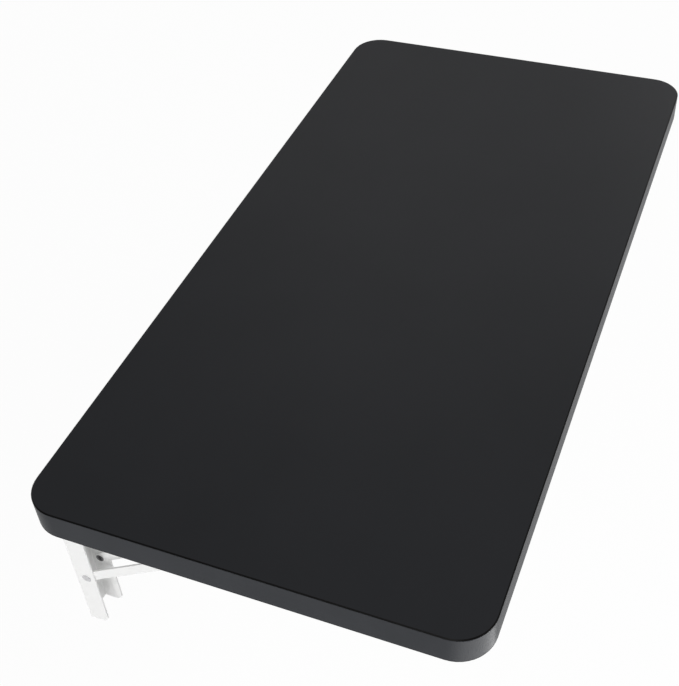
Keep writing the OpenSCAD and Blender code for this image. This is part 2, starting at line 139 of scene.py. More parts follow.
AMBIENT = 0.36
WHITE = (1, 1, 1, 1)
world = bpy.data.worlds.new("white_room")
world.use_nodes = True
sky = world.node_tree
sky.nodes.clear()
soft_grey = add_node(sky, "ShaderNodeBackground", {"Color": WHITE, "Strength": AMBIENT})
plain_white = add_node(sky, "ShaderNodeBackground", {"Color": WHITE, "Strength": 1.0})
choose = add_node(sky, "ShaderNodeMixShader")
sky_out = add_node(sky, "ShaderNodeOutputWorld")
sky.links.new(seen_directly(sky), choose.inputs[0])
sky.links.new(soft_grey.outputs[0], choose.inputs[1])
sky.links.new(plain_white.outputs[0], choose.inputs[2])
sky.links.new(choose.outputs[0], sky_out.inputs["Surface"])
scene.world = world
print(world.name, "lights the object with", AMBIENT, "of full white")

# %% [markdown]
# ## The lamps
#
# Product pictures of dark furniture are lit by large soft boxes. The lamps here are big and mild, at a level where
# a colour renders about as it is written. Each has its own job. The key box stands in front and lights the long
# edge band. The side box lights the short end and the bracket's outer flange. The back box and the far box are weak
# and stand behind the board and past its far end: their wide reflections make the laminate grow lighter towards
# the far corner, as the photograph shows.
#
# The fifth lamp is the small bright card that photographers hold low beside an object for the sake of one
# reflection. Only glossy rays find it, so it adds nothing to the light on the object: it draws the pale streak that
# bends round the board's near corner. It is kept small and close, because a wide one would also shine in the
# white brackets and wash them out.

# %% Place the lamps
def soft_box(name, place, aim, size, watts):
    """A square area lamp at place that faces aim."""
    data = bpy.data.lights.new(name, "AREA")
    data.shape = "SQUARE"
    data.size = size
    data.energy = watts
    lamp = bpy.data.objects.new(name, data)
    lamp.location = place
    lamp.rotation_euler = (Vector(aim) - Vector(place)).to_track_quat("-Z", "Y").to_euler()
    scene.collection.objects.link(lamp)
    return lamp


BOARD_MIDDLE = (0.0, -0.2, 0.1)
FAR_CORNER = (0.3, -0.35, 0.1)
NEAR_CORNER = (-0.37, -0.39, 0.11)
soft_box("key_box", (-0.3, -2.1, 1.8), BOARD_MIDDLE, size=1.3, watts=36)
soft_box("side_box", (-1.9, -0.5, 1.2), BOARD_MIDDLE, size=0.9, watts=27)
soft_box("back_box", (1.5, 0.4, 1.6), BOARD_MIDDLE, size=1.0, watts=8.4)
soft_box("far_box", (2.5, -0.6, 1.6), FAR_CORNER, size=0.9, watts=14)
card = soft_box("corner_card", (-0.41, -0.55, -0.17), NEAR_CORNER, size=0.36, watts=1.8)
card.visible_diffuse = False
card.visible_camera = False

# %% [markdown]
# ## The floor
#
# The table hangs on a wall at about desk height, so the floor lies 0.75 m below the board's top. A disc serves as
# well as a square and has no corners to show. It isn't part of the object.

# %% Lay the floor
TABLE_HEIGHT = 0.75
FLOOR_R = 12.0
FLOOR_SIDES = 96

floor_z = cad_box[1].z - TABLE_HEIGHT
floor_mesh = bpy.data.meshes.new("floor")
disc = bmesh.new()
bmesh.ops.create_circle(disc, cap_ends=True, segments=FLOOR_SIDES, radius=FLOOR_R)
disc.to_mesh(floor_mesh)
disc.free()
floor = bpy.data.objects.new("floor", floor_mesh)
floor.location.z = floor_z
scene.collection.objects.link(floor)
print("floor at z =", round(floor_z, 3))

# %% [markdown]
# The floor's paint catches only a faint share of the shadow, as in a picture that was cut out and set on white. It
# fades into the white of the room between 1.2 and 5 m from its middle, so no horizon shows from the side. Seen
# from below it is clear, which lets a low view show the underside.

# %% Paint the floor
FADE_FROM = 1.2
FADE_TO = 5.0
SHADOW_SHOWN = 0.06

floor_paint = bpy.data.materials.new("floor_paint")
floor_paint.use_nodes = True
tree = floor_paint.node_tree
tree.nodes.clear()
matt = add_node(tree, "ShaderNodeBsdfDiffuse", {"Color": (0.8, 0.8, 0.8, 1)})
glow = add_node(tree, "ShaderNodeEmission", {"Color": WHITE, "Strength": 1.0})
clear = add_node(tree, "ShaderNodeBsdfTransparent")
where = add_node(tree, "ShaderNodeTexCoord")
reach = add_node(tree, "ShaderNodeVectorMath", operation="LENGTH")
fade = add_node(tree, "ShaderNodeMapRange", {"From Min": FADE_FROM, "From Max": FADE_TO,
                                              "To Min": 1 - SHADOW_SHOWN, "To Max": 1.0})
only_seen = add_node(tree, "ShaderNodeMath", operation="MULTIPLY")
lit = add_node(tree, "ShaderNodeMixShader")
facing = add_node(tree, "ShaderNodeNewGeometry")
either_side = add_node(tree, "ShaderNodeMixShader")
out = add_node(tree, "ShaderNodeOutputMaterial")
tree.links.new(where.outputs["Object"], reach.inputs[0])
tree.links.new(reach.outputs["Value"], fade.inputs["Value"])
tree.links.new(fade.outputs[0], only_seen.inputs[0])
tree.links.new(seen_directly(tree), only_seen.inputs[1])
tree.links.new(only_seen.outputs[0], lit.inputs[0])
tree.links.new(matt.outputs[0], lit.inputs[1])
tree.links.new(glow.outputs[0], lit.inputs[2])
tree.links.new(facing.outputs["Backfacing"], either_side.inputs[0])
tree.links.new(lit.outputs[0], either_side.inputs[1])
tree.links.new(clear.outputs[0], either_side.inputs[2])
tree.links.new(either_side.outputs[0], out.inputs["Surface"])
floor.data.materials.append(floor_paint)
print(floor_paint.name, "shows", SHADOW_SHOWN, "of the shadow")

# %% [markdown]
# ## Finishes: how they are made
#
# Each finish is one Principled shader, fed by noise that is read in the object's own coordinates. Those coordinates
# are metres in the rest pose, so a grain of 0.5 mm stays 0.5 mm wide and moves with its piece. The plain numbers
# are set on the shader's own sockets. Only what varies over the surface, such as colour, roughness and height, is
# linked. A noise field runs from 0 to 1, but nearly all of it lies between 0.3 and 0.7, so `spread` and `tint`
# stretch that part over the range that is asked for.

# %% A finish and its fields
USEFUL = (0.3, 0.7)


def new_finish(name, base, roughness, **sockets):
    """A material whose Principled shader has these plain values."""
    material = bpy.data.materials.new(name)
    material.use_nodes = True
    shader = material.node_tree.nodes["Principled BSDF"]
    shader.inputs["Base Color"].default_value = (*base, 1)
    shader.inputs["Roughness"].default_value = roughness
    for key, value in sockets.items():
        shader.inputs[key.replace("_", " ")].default_value = value
    material.diffuse_color = (*base, 1)
    return material


def noise(material, size, detail=2.0, stretch=(1, 1, 1), rough=0.5):
    """Noise whose blots are about size metres wide, drawn out along the axes by stretch."""
    tree = material.node_tree
    where = add_node(tree, "ShaderNodeTexCoord")
    scale = add_node(tree, "ShaderNodeMapping", {"Scale": tuple(1 / s for s in stretch)})
    field = add_node(tree, "ShaderNodeTexNoise", {"Scale": 1 / size, "Detail": detail, "Roughness": rough})
    tree.links.new(where.outputs["Object"], scale.inputs["Vector"])
    tree.links.new(scale.outputs[0], field.inputs["Vector"])
    return field.outputs["Fac"]


def spread(material, field, low, high, between=USEFUL):
    """The field, whose useful part lies between two values, mapped to low ... high."""
    tree = material.node_tree
    remap = add_node(tree, "ShaderNodeMapRange", {"From Min": between[0], "From Max": between[1],
                                                  "To Min": low, "To Max": high})
    tree.links.new(field, remap.inputs["Value"])
    return remap.outputs[0]


def tint(material, field, dark, light, between=USEFUL):
    """Blends two colours by the field."""
    tree = material.node_tree
    ramp = add_node(tree, "ShaderNodeValToRGB")
    ramp.color_ramp.elements[0].position = between[0]
    ramp.color_ramp.elements[0].color = (*dark, 1)
    ramp.color_ramp.elements[1].position = between[1]
    ramp.color_ramp.elements[1].color = (*light, 1)
    tree.links.new(field, ramp.inputs["Fac"])
    return ramp.outputs["Color"]


print("noise is read between", USEFUL)

# %% [markdown]
# A field does nothing until it is linked. Colour and roughness go straight to their sockets. Height goes through
# a Bump node, which leans the surface's normal as real hills of that depth would. Several layers are stacked, each
# handing its normal to the next, because real skins have a coarse and a fine grain.

# %% Colour, gloss and height
VARIED = ("Base Color", "Roughness", "Normal")


def feed(material, socket, value):
    """Links a field or a colour to one of the shader's sockets."""
    shader = material.node_tree.nodes["Principled BSDF"]
    material.node_tree.links.new(value, shader.inputs[socket])


def bumps(material, *layers):
    """Height layers, each (field, depth in metres), stacked into the shader's normal."""
    tree = material.node_tree
    normal = None
    for field, depth in layers:
        bump = add_node(tree, "ShaderNodeBump", {"Strength": 1.0, "Distance": depth})
        tree.links.new(field, bump.inputs["Height"])
        if normal:
            tree.links.new(normal, bump.inputs["Normal"])
        normal = bump.outputs["Normal"]
    feed(material, "Normal", normal)


def tell(material):
    """Prints which of a finish's sockets are fed by a field."""
    shader = material.node_tree.nodes["Principled BSDF"]
    print(material.name, "varies in", ", ".join(name for name in VARIED if shader.inputs[name].is_linked))


print("fields feed", ", ".join(VARIED))

# %% [markdown]
# ### Charcoal laminate
#
# The board's faces are a decorative laminate: paper and resin pressed against a finely etched plate. Its gloss is
# satin, its grain is too fine to see from a metre, and it mirrors very little. So the shader's mirror share is
# turned down, and two noises set the height: a 0.9 mm pebble and a 0.25 mm tooth. A third, a few millimetres wide
# and faint, varies the gloss, as an etched plate does. It stays this fine on purpose: a wider one shows as blotches
# when the face is seen at a low angle. The printed colour itself shifts a very little, over a hand's width.
#
# Where the laminate is trimmed, its bevel cuts through the printed face into the core of brown-black paper. Its
# colour is set near black, so that it also paints the shade that the bevel lies in: the core and that painted shade
# make the thin dark line all round the board. The surface's own normal tells the two apart: it points straight up
# or down on a face, and leans on the bevel.

# %% Laminate
def upright(material, low, high):
    """1 where the surface faces up or down and 0 where it leans: it rises as the normal's Z goes from low to high."""
    tree = material.node_tree
    where = add_node(tree, "ShaderNodeTexCoord")
    split = add_node(tree, "ShaderNodeSeparateXYZ")
    size = add_node(tree, "ShaderNodeMath", operation="ABSOLUTE")
    tree.links.new(where.outputs["Normal"], split.inputs[0])
    tree.links.new(split.outputs["Z"], size.inputs[0])
    return spread(material, size.outputs[0], 0, 1, between=(low, high))


def blend_colours(material, share, first, second):
    """Mixes two colour outputs: share 0 shows the first and 1 the second."""
    tree = material.node_tree
    mix = add_node(tree, "ShaderNodeMix", data_type="RGBA")
    sockets = {socket.identifier: socket for socket in (*mix.inputs, *mix.outputs)}
    tree.links.new(share, sockets["Factor_Float"])
    tree.links.new(first, sockets["A_Color"])
    tree.links.new(second, sockets["B_Color"])
    return sockets["Result_Color"]


laminate = new_finish("charcoal_laminate", (0.0115, 0.0119, 0.0132), 0.42, Specular_IOR_Level=0.038)
pebble = noise(laminate, 0.0009, 3)
cloud = noise(laminate, 0.11, 4)
printed = tint(laminate, cloud, (0.0109, 0.0114, 0.0127), (0.0121, 0.0126, 0.0141))
plies = noise(laminate, 0.0004, 3, stretch=(8, 8, 1))
# The bevel's colour: the core paper, painted near black so that it also stands for the shade on the bevel.
core_paper_and_shade = tint(laminate, plies, (0.0008, 0.0007, 0.0007), (0.002, 0.0018, 0.0018))
on_face = upright(laminate, 0.86, 0.96)
feed(laminate, "Base Color", blend_colours(laminate, on_face, core_paper_and_shade, printed))
feed(laminate, "Roughness", spread(laminate, noise(laminate, 0.004, 3), 0.405, 0.435))
bumps(laminate, (pebble, 0.00003), (noise(laminate, 0.00025, 2), 0.00001))
tell(laminate)

# %% [markdown]
# ### Slate edge band
#
# The band is extruded plastic, glued round the board and trimmed. It is a step lighter than the laminate. The
# extrusion leaves faint lines that run along it, so its noise is drawn out along X and Y and kept short in Z. The
# lines are only about a hundredth of a millimetre deep, because the band is mostly seen at a low angle, where
# deeper ones would look like grain.

# %% Edge band
edge_plastic = new_finish("slate_edge_plastic", (0.034, 0.036, 0.040), 0.36, Specular_IOR_Level=0.03)
drawn = noise(edge_plastic, 0.0008, 4, stretch=(60, 60, 1))
shade = noise(edge_plastic, 0.05, 4)
feed(edge_plastic, "Base Color", tint(edge_plastic, shade, (0.032, 0.034, 0.038), (0.036, 0.038, 0.0425)))
feed(edge_plastic, "Roughness", spread(edge_plastic, drawn, 0.32, 0.4))
bumps(edge_plastic, (drawn, 0.000014), (noise(edge_plastic, 0.0006, 3), 0.000006))
tell(edge_plastic)

# %% [markdown]
# ### Raw fibreboard
#
# The core lies behind the laminates and the band, and shows only in the screw holes. It is pressed wood fibre:
# brown, matt, with short darker fibres. A picture of the material would repeat, so the fibres are a noise drawn out
# along X, and the same noise lifts them a little.

# %% Fibreboard
fibreboard = new_finish("raw_fibreboard", (0.40, 0.29, 0.18), 0.85)
fibres = noise(fibreboard, 0.0007, 6, stretch=(4, 1.5, 1), rough=0.7)
feed(fibreboard, "Base Color", tint(fibreboard, fibres, (0.29, 0.20, 0.12), (0.50, 0.37, 0.24)))
bumps(fibreboard, (fibres, 0.0001))
tell(fibreboard)

# %% [markdown]
# ### White powder coat
#
# The brackets are sprayed with dry powder that melts in an oven. The film is thick, so it flows into a skin like an
# orange's: low hills a millimetre or two across. A hard, slightly warm white with a clear sheen comes out of that.
# A second, finer noise breaks up the sheen, and a broad one shifts the white a little, as film thickness does. Hills
# this low would take millions of faces, so they are heights in the shader and not in the mesh.

# %% Powder coat
powder_coat = new_finish("white_powder_coat", (0.88, 0.88, 0.875), 0.3, Specular_IOR_Level=0.4)
skin = noise(powder_coat, 0.0022, 2)
film = noise(powder_coat, 0.03, 4)
feed(powder_coat, "Base Color", tint(powder_coat, film, (0.872, 0.872, 0.866), (0.888, 0.888, 0.883)))
feed(powder_coat, "Roughness", spread(powder_coat, noise(powder_coat, 0.006, 4), 0.29, 0.33))
bumps(powder_coat, (skin, 0.00005), (noise(powder_coat, 0.0005, 3), 0.000008))
tell(powder_coat)

# %% [markdown]
# ### Zinc plate and spring wire
#
# Rivets, pins and screws are bright zinc over steel. Zinc is a cool grey metal with a cloudy gloss. A rivet's rolled
# tail and its bore get a dark zinc: in the bore it is painted shade, and on the curled ring a painted dark
# reflection.
# The spring is hard-drawn wire: darker than zinc, with about the same gloss. One recipe makes all three, because they
# differ only in tone and in the size of their clouds.

# %% Metals
zinc = new_finish("zinc_plate", (0.58, 0.58, 0.59), 0.28, Metallic=1.0)
tarnish = noise(zinc, 0.0016, 4)
feed(zinc, "Base Color", tint(zinc, tarnish, (0.50, 0.50, 0.51), (0.66, 0.66, 0.67)))
feed(zinc, "Roughness", spread(zinc, noise(zinc, 0.0011, 5), 0.2, 0.36))
bumps(zinc, (noise(zinc, 0.0005, 4), 0.00001))
tell(zinc)

# Dark zinc for rivet tails and bores: painted shade in the bores and a painted dark reflection on the curled rings.
painted_shade_zinc = new_finish("painted_shade_zinc", (0.17, 0.17, 0.175), 0.42, Metallic=1.0)
painted_shade_mottle = noise(painted_shade_zinc, 0.0009, 5)
feed(painted_shade_zinc, "Base Color", tint(painted_shade_zinc, painted_shade_mottle, (0.11, 0.11, 0.115), (0.23, 0.23, 0.235)))
feed(painted_shade_zinc, "Roughness", spread(painted_shade_zinc, noise(painted_shade_zinc, 0.0007, 5), 0.36, 0.5))
bumps(painted_shade_zinc, (noise(painted_shade_zinc, 0.0006, 4), 0.00003))
tell(painted_shade_zinc)

spring_wire = new_finish("drawn_spring_wire", (0.30, 0.30, 0.32), 0.3, Metallic=1.0)
scale_film = noise(spring_wire, 0.0012, 3)
feed(spring_wire, "Base Color", tint(spring_wire, scale_film, (0.24, 0.24, 0.26), (0.36, 0.36, 0.38)))
feed(spring_wire, "Roughness", spread(spring_wire, noise(spring_wire, 0.0007, 4), 0.22, 0.38))
bumps(spring_wire, (noise(spring_wire, 0.0003, 3), 0.000006))
tell(spring_wire)

# %% [markdown]
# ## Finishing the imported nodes
#
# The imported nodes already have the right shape, so they stay and get their finish through their material slots.
# Their edges are knife sharp, though, and real sheet, laminate and plastic never are: a sharp edge catches no
# light. Four modifiers put that right without touching the mesh. Weld joins the corners that the file keeps apart,
# and Decimate, set to dissolve, joins the triangles of each flat face, because a sliver among them would be taken
# for a sharp edge. Bevel then rounds every edge sharper than 30 degrees, and Weighted Normal keeps big faces flat.

# %% Give nodes their finish and soft edges
EDGE_ANGLE = math.radians(30)
FLAT_ANGLE = math.radians(0.5)
WELD_REACH = 0.00001  # metres
WHITE_PIECES = (("wall_channel", 0.3), ("arm_channel", 0.3), ("brace_outer", 0.35), ("brace_inner", 0.35),
                ("release_lever", 0.25), ("hinge_spacers", 0.4))


def dress(name, material, edge_mm, segments=2):
    """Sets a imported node's finish and rounds its edges by edge_mm."""
    node = nodes[name]
    node.data.materials.clear()
    node.data.materials.append(material)
    weld = node.modifiers.new("weld", "WELD")
    weld.merge_threshold = WELD_REACH
    flats = node.modifiers.new("join_flats", "DECIMATE")
    flats.decimate_type = "DISSOLVE"
    flats.angle_limit = FLAT_ANGLE
    bevel = node.modifiers.new("soft_edges", "BEVEL")
    bevel.width = edge_mm * MM
    bevel.segments = segments
    bevel.limit_method = "ANGLE"
    bevel.angle_limit = EDGE_ANGLE
    bevel.use_clamp_overlap = True
    bevel.miter_outer = "MITER_ARC"
    shading = node.modifiers.new("even_shading", "WEIGHTED_NORMAL")
    shading.weight = 100
    shading.keep_sharp = False


dress("board_core", fibreboard, 0.2)
dress("top_laminate", laminate, 0.08, segments=1)
dress("bottom_laminate", laminate, 0.08, segments=1)
dress("edge_band", edge_plastic, 0.1)
for side_name in SIDES:
    for piece_name, edge_mm in WHITE_PIECES:
        dress(f"{side_name}_{piece_name}", powder_coat, edge_mm)
print("dressed:", 4 + len(WHITE_PIECES) * len(SIDES), "nodes")

# %% [markdown]
# ## Turned pieces
#
# Rivets, pins and screws are round, so each is one outline spun about its axis. The outline is a list of
# (along, radius) from one end to the other. A modifier could spin it too, but code keeps the mesh clean: quads
# along the outline and one fan at each pole, which is where the radius comes down to nothing. From here on lengths
# are written in millimetres, as on a workshop drawing, and `MM` turns them into metres.

# %% Helpers for turned pieces
TURN_STEPS = 48
POLE_R = 1e-6


def spin(mesh, outline, place, axis, steps=TURN_STEPS):
    """Adds the outline, spun about axis through place, to a bmesh."""
    axis = Vector(axis).normalized()
    across = axis.orthogonal().normalized()
    third = axis.cross(across)
    spokes = [across * math.cos(a) + third * math.sin(a) for a in (2 * math.pi * k / steps for k in range(steps))]
    rings = []
    for along, radius in outline:
        spot = Vector(place) + axis * along * MM
        if radius < POLE_R:
            rings.append([mesh.verts.new(spot)])
        else:
            rings.append([mesh.verts.new(spot + spoke * radius * MM) for spoke in spokes])
    for low, high in zip(rings, rings[1:]):
        for k in range(steps):
            n = (k + 1) % steps
            corners = [low[k % len(low)], low[n % len(low)], high[n % len(high)], high[k % len(high)]]
            mesh.faces.new(list(dict.fromkeys(corners)))


def finish_piece(mesh, name, material, body, slot, *stands_for, smooth_deg=40, tail_shade_finish=None):
    """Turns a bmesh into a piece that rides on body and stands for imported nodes."""
    bmesh.ops.recalc_face_normals(mesh, faces=mesh.faces)
    data = bpy.data.meshes.new(name)
    mesh.to_mesh(data)
    mesh.free()
    data.materials.append(material)
    if tail_shade_finish:
        data.materials.append(tail_shade_finish)
    data.shade_smooth()
    data.set_sharp_from_angle(angle=math.radians(smooth_deg))
    piece = bpy.data.objects.new(name, data)
    scene.collection.objects.link(piece)
    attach(piece, body)
    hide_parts(*stands_for)
    return piece


print("turned pieces get", TURN_STEPS, "steps round")

# %% [markdown]
# ### Rivet ends
#
# A rivet has two different ends. The factory head is a low dome with a crisp rim. The tail is what the press has
# spread, and on these tubular rivets it curls over into a ring round an open bore. Both outlines are built from
# the piece's own radii, and the same two functions serve every tubular rivet on the bracket. The faces of the tail
# and of its bore get the second finish, a dark zinc that paints shade in the bore and a dark reflection on the ring.

# %% Outlines of rivet ends
ARC_STEPS = 12
RIM_EASE = 0.1  # the rim's rounding
RIM_SHARE = 0.3  # share of a head's height that stands straight up at its rim
ROLL_FLATNESS = 0.6  # height over half width of the curled ring
BORE_TAPER = 0.8  # the bore's radius at its bottom over that at its mouth
BORE_TIP = 0.3  # depth of the cone at the bore's bottom
BORE_SEEN = 2.0  # how deep behind the tail faces still belong to the bore, in bore radii


def eased_rim(r):
    """The first two points of a rivet's end: its rim, eased where it leaves the sheet."""
    return [(0.0, r - RIM_EASE), (RIM_EASE, r)]


def domed_head(r, h):
    """Low domed head of radius r and height h: points from its rim, on the plane 0, up to its crown."""
    rise = h - RIM_SHARE * h
    crown_r = (r * r + rise ** 2) / (2 * rise)
    half = math.asin(r / crown_r)
    turns = [half * (1 - i / ARC_STEPS) for i in range(ARC_STEPS + 1)]
    return eased_rim(r) + [(h - crown_r + crown_r * math.cos(t), crown_r * math.sin(t)) for t in turns]


def curled_tail(r, h, bore_r, bore_depth):
    """Spread tubular tail: a ring that rolls over from its rim into the bore, whose bottom is a shallow cone."""
    ring = (r - bore_r) / 2
    rise = ROLL_FLATNESS * ring
    turns = [math.pi * i / ARC_STEPS for i in range(ARC_STEPS + 1)]
    roll = [(h - rise + rise * math.sin(t), bore_r + ring + ring * math.cos(t)) for t in turns]
    bottom = h - bore_depth
    return eased_rim(r) + roll + [(bottom, bore_r * BORE_TAPER), (bottom - BORE_TIP, 0.0)]


def mark_tails(faces, middle, direction, tail_from, bore_r):
    """Gives the dark zinc of painted shade to the faces beyond the plane at tail_from and to those of the bore behind
    it.
    """
    for face in faces:
        spot = (face.calc_center_median() - middle) / MM
        along = spot.x * direction
        in_bore = math.hypot(spot.y, spot.z) < bore_r and along < tail_from + BORE_SEEN * bore_r
        # Material index 1 is the dark zinc of painted shade.
        face.material_index = int(along < tail_from or in_bore)


def flipped(outline, face):
    """The outline of an end that points the other way, standing on the plane at face."""
    return [(face - along, radius) for along, radius in reversed(outline)]


def standing(outline, face):
    """The outline of an end that points forward, standing on the plane at face."""
    return [(face + along, radius) for along, radius in outline]


print("a domed head has", len(domed_head(3.0, 1.0)), "points and a tail", len(curled_tail(3.0, 1.0, 1.0, 1.0)))

# %% [markdown]
# ### Hinge pins and lever pins
#
# Each arm hinges on one long rivet through the channel's two flanges, and each release lever on a thinner one.
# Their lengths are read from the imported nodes' boxes, so they fit whatever was packed. The head faces outwards,
# where the table's side shows it, and the tail is a little narrower.

# %% Hinge pins and lever pins
OUTWARD = {"left": -1, "right": 1}
TAIL_SHARE = 0.92  # the tail's radius over the head's
HINGE_RIVET = {"shank_r": 3.0, "head_r": 4.7, "head_h": 1.3, "bore_r": 1.7, "bore_depth": 1.6}
LEVER_RIVET = {"shank_r": 1.6, "head_r": 3.1, "head_h": 0.5, "bore_r": 1.0, "bore_depth": 1.2}


def through_rivet(node_name, body, axis_at, outward, shank_r, head_r, head_h, bore_r, bore_depth):
    """A rivet right across the bracket: domed outside, curled inside."""
    low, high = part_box(node_name)
    length = (high.x - low.x) / MM
    grip = length / 2 - head_h
    middle = Vector(((low.x + high.x) / 2, axis_at.y, axis_at.z))
    inner = flipped(curled_tail(head_r * TAIL_SHARE, head_h, bore_r, bore_depth), -grip)
    outer = standing(domed_head(head_r, head_h), grip)
    mesh = bmesh.new()
    spin(mesh, inner + [(-grip, shank_r), (grip, shank_r)] + outer, middle, (outward, 0, 0))
    mark_tails(mesh.faces, middle, outward, -grip, bore_r)
    piece = finish_piece(mesh, node_name + "_rivet", zinc, body, "zinc", node_name, tail_shade_finish=painted_shade_zinc)
    print(piece.name, round(length, 2), "mm long")


for side_name in SIDES:
    through_rivet(f"{side_name}_hinge_pin", "wall_parts", joint_at["table_fold"], OUTWARD[side_name], **HINGE_RIVET)
    through_rivet(f"{side_name}_lever_pin", "table", joint_at[f"{side_name}_lever_press"], OUTWARD[side_name],
                  **LEVER_RIVET)

# %% [markdown]
# ### Foot rivets and brace rivets
#
# Each brace bar has its own short rivet at both ends. At the foot the dome is outside the channel and the curled
# tail is inside, next to the bar: its open bore and the painted shade of its dark zinc make the dark spot on the far
# flange. At the top the rivet's head has a small dimple from the press. The two rivets of a pair are mirror images,
# so one outline serves both, spun once each way.

# %% Foot rivets and brace rivets
DIMPLE = ((0.0, 1.0), (0.6, 0.85), (1.0, 0.4), (1.0, 0.0))  # (share of its depth, share of its radius)


def dimpled_head(r, h, dimple_r, depth):
    """Domed head with a round dimple in its crown."""
    dome = [p for p in domed_head(r, h) if p[1] > dimple_r]
    lip = dome[-1][0]
    return dome + [(lip - deep * depth, wide * dimple_r) for deep, wide in DIMPLE]


def paired_rivets(node_name, body, axis_at, grip, shank_r, inside, outside, bore_r=0.0):
    """Two rivets, mirror images about the bracket's middle plane. Their ends stand on the two planes of grip."""
    low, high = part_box(node_name)
    middle = Vector(((low.x + high.x) / 2, axis_at.y, axis_at.z))
    inner_end, outer_end = grip
    outline = flipped(inside, inner_end) + [(inner_end, shank_r), (outer_end, shank_r)] + standing(outside, outer_end)
    mesh = bmesh.new()
    for direction in (-1, 1):
        before = len(mesh.faces)
        spin(mesh, outline, middle, (direction, 0, 0))
        if bore_r:
            mark_tails(list(mesh.faces)[before:], middle, direction, inner_end, bore_r)
    # Tails with a bore get the dark zinc of painted shade.
    tail_shade_finish = painted_shade_zinc if bore_r else None
    piece = finish_piece(mesh, node_name + "_turned", zinc, body, "zinc", node_name, tail_shade_finish=tail_shade_finish)
    print(piece.name, "reaches", round((high.x - low.x) / MM / 2, 2), "mm from the middle plane")


BRACKET_X = 0.35  # the right bracket's middle plane, in metres
SIDE_GAP = 0.3
FOOT_SHANK_R = 3.0
FOOT_BORE_R = 2.0
FOOT_TAIL = curled_tail(r=4.0, h=0.8, bore_r=FOOT_BORE_R, bore_depth=3.6)
FOOT_HEAD = domed_head(r=4.5, h=1.3)
TOP_SHANK_R = 2.25
TOP_TAIL = [(0.0, TOP_SHANK_R), (0.0, 0.0)]
TOP_HEAD = dimpled_head(r=3.55, h=1.3, dimple_r=1.1, depth=0.7)

bar_in, bar_out = ((corner.x - BRACKET_X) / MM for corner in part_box("right_brace_outer"))
channel_out = (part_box("right_wall_channel")[1].x - BRACKET_X) / MM
print("bar layer", round(bar_in, 2), "to", round(bar_out, 2), "mm, channel to", round(channel_out, 2))
for side_name in SIDES:
    paired_rivets(f"{side_name}_foot_rivets", "wall_parts", joint_at[f"{side_name}_brace_swing"],
                  (bar_in - SIDE_GAP, channel_out), FOOT_SHANK_R, FOOT_TAIL, FOOT_HEAD, FOOT_BORE_R)
    pin_low, pin_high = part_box(f"{side_name}_slide_pin")
    paired_rivets(f"{side_name}_brace_rivets", f"{side_name}_brace", (pin_low + pin_high) / 2,
                  (bar_in, bar_out), TOP_SHANK_R, TOP_TAIL, TOP_HEAD)

# %% [markdown]
# ### Sliding pins
#
# The pin that rides in the arm's two slots is a plain bar, bored at both ends and eased at its rims, and polished
# bright by its own travel. A cylinder with a bevel would miss the bores, so it is spun as well, from the outline of
# one end and the same points turned round for the other.

# %% Sliding pins
EASE = 0.25
EASE_MIDDLE = 0.07  # how far the rounding's middle point lies from both faces
BORE_EASE = 0.15
BORE_DEEP = 2.0
BORE_CONE = 0.2

for side_name in SIDES:
    node_name = f"{side_name}_slide_pin"
    low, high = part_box(node_name)
    half = (high.x - low.x) / MM / 2
    radius = (high.z - low.z) / MM / 2
    bore_r = radius / 2
    end = [(half - EASE, radius), (half - EASE_MIDDLE, radius - EASE_MIDDLE), (half, radius - EASE),
           (half, bore_r + BORE_EASE), (half - BORE_EASE, bore_r), (half - BORE_DEEP, bore_r),
           (half - BORE_DEEP - BORE_CONE, 0.0)]
    outline = [(-along, r) for along, r in reversed(end)] + end
    mesh = bmesh.new()
    spin(mesh, outline, (low + high) / 2, (1, 0, 0))
    finish_piece(mesh, node_name + "_bar", zinc, f"{side_name}_slider", "zinc", node_name)
    print(node_name, "is", round(2 * half, 2), "mm by", round(2 * radius, 2))

# %% [markdown]
# ### Board screws
#
# Six pan-head screws hold the arms to the board. Only their heads show, inside the arm. A screw is spun like the
# rivets, but its cross recess can't be, because a star-shaped pit with sharp walls isn't round. That is cut with a
# boolean. The cutter is two crossed blades, each long one way and thin the other, that taper towards the bottom of
# the recess as a driver's tip does.

# %% One board screw
SHANK_R, HEAD_R, HEAD_H, TIP_H = 2.0, 3.8, 2.0, 3.0
HEAD_ROUND = 0.9
HEAD_FLAT_R = HEAD_R * 0.55
THREAD_CORE_R = SHANK_R * 0.72
THREAD_PITCH = 1.5
THREAD_RIDGE = (0.5, 0.65, 1.1)  # where a ridge is up, starts down and has ended
PLAIN_NECK = 2.0
TIP_R = 0.15
RECESS_R, RECESS_W, RECESS_DEEP = 2.1, 0.75, 1.3
RECESS_TAPER = 0.45
SCREW_STEPS = 36


def arc(along, radius, r, start, end, steps=6):
    """Points of an arc in the outline's plane, centred at (along, radius), angles in degrees."""
    angles = [math.radians(start + (end - start) * i / steps) for i in range(steps + 1)]
    return [(along + r * math.cos(a), radius + r * math.sin(a)) for a in angles]


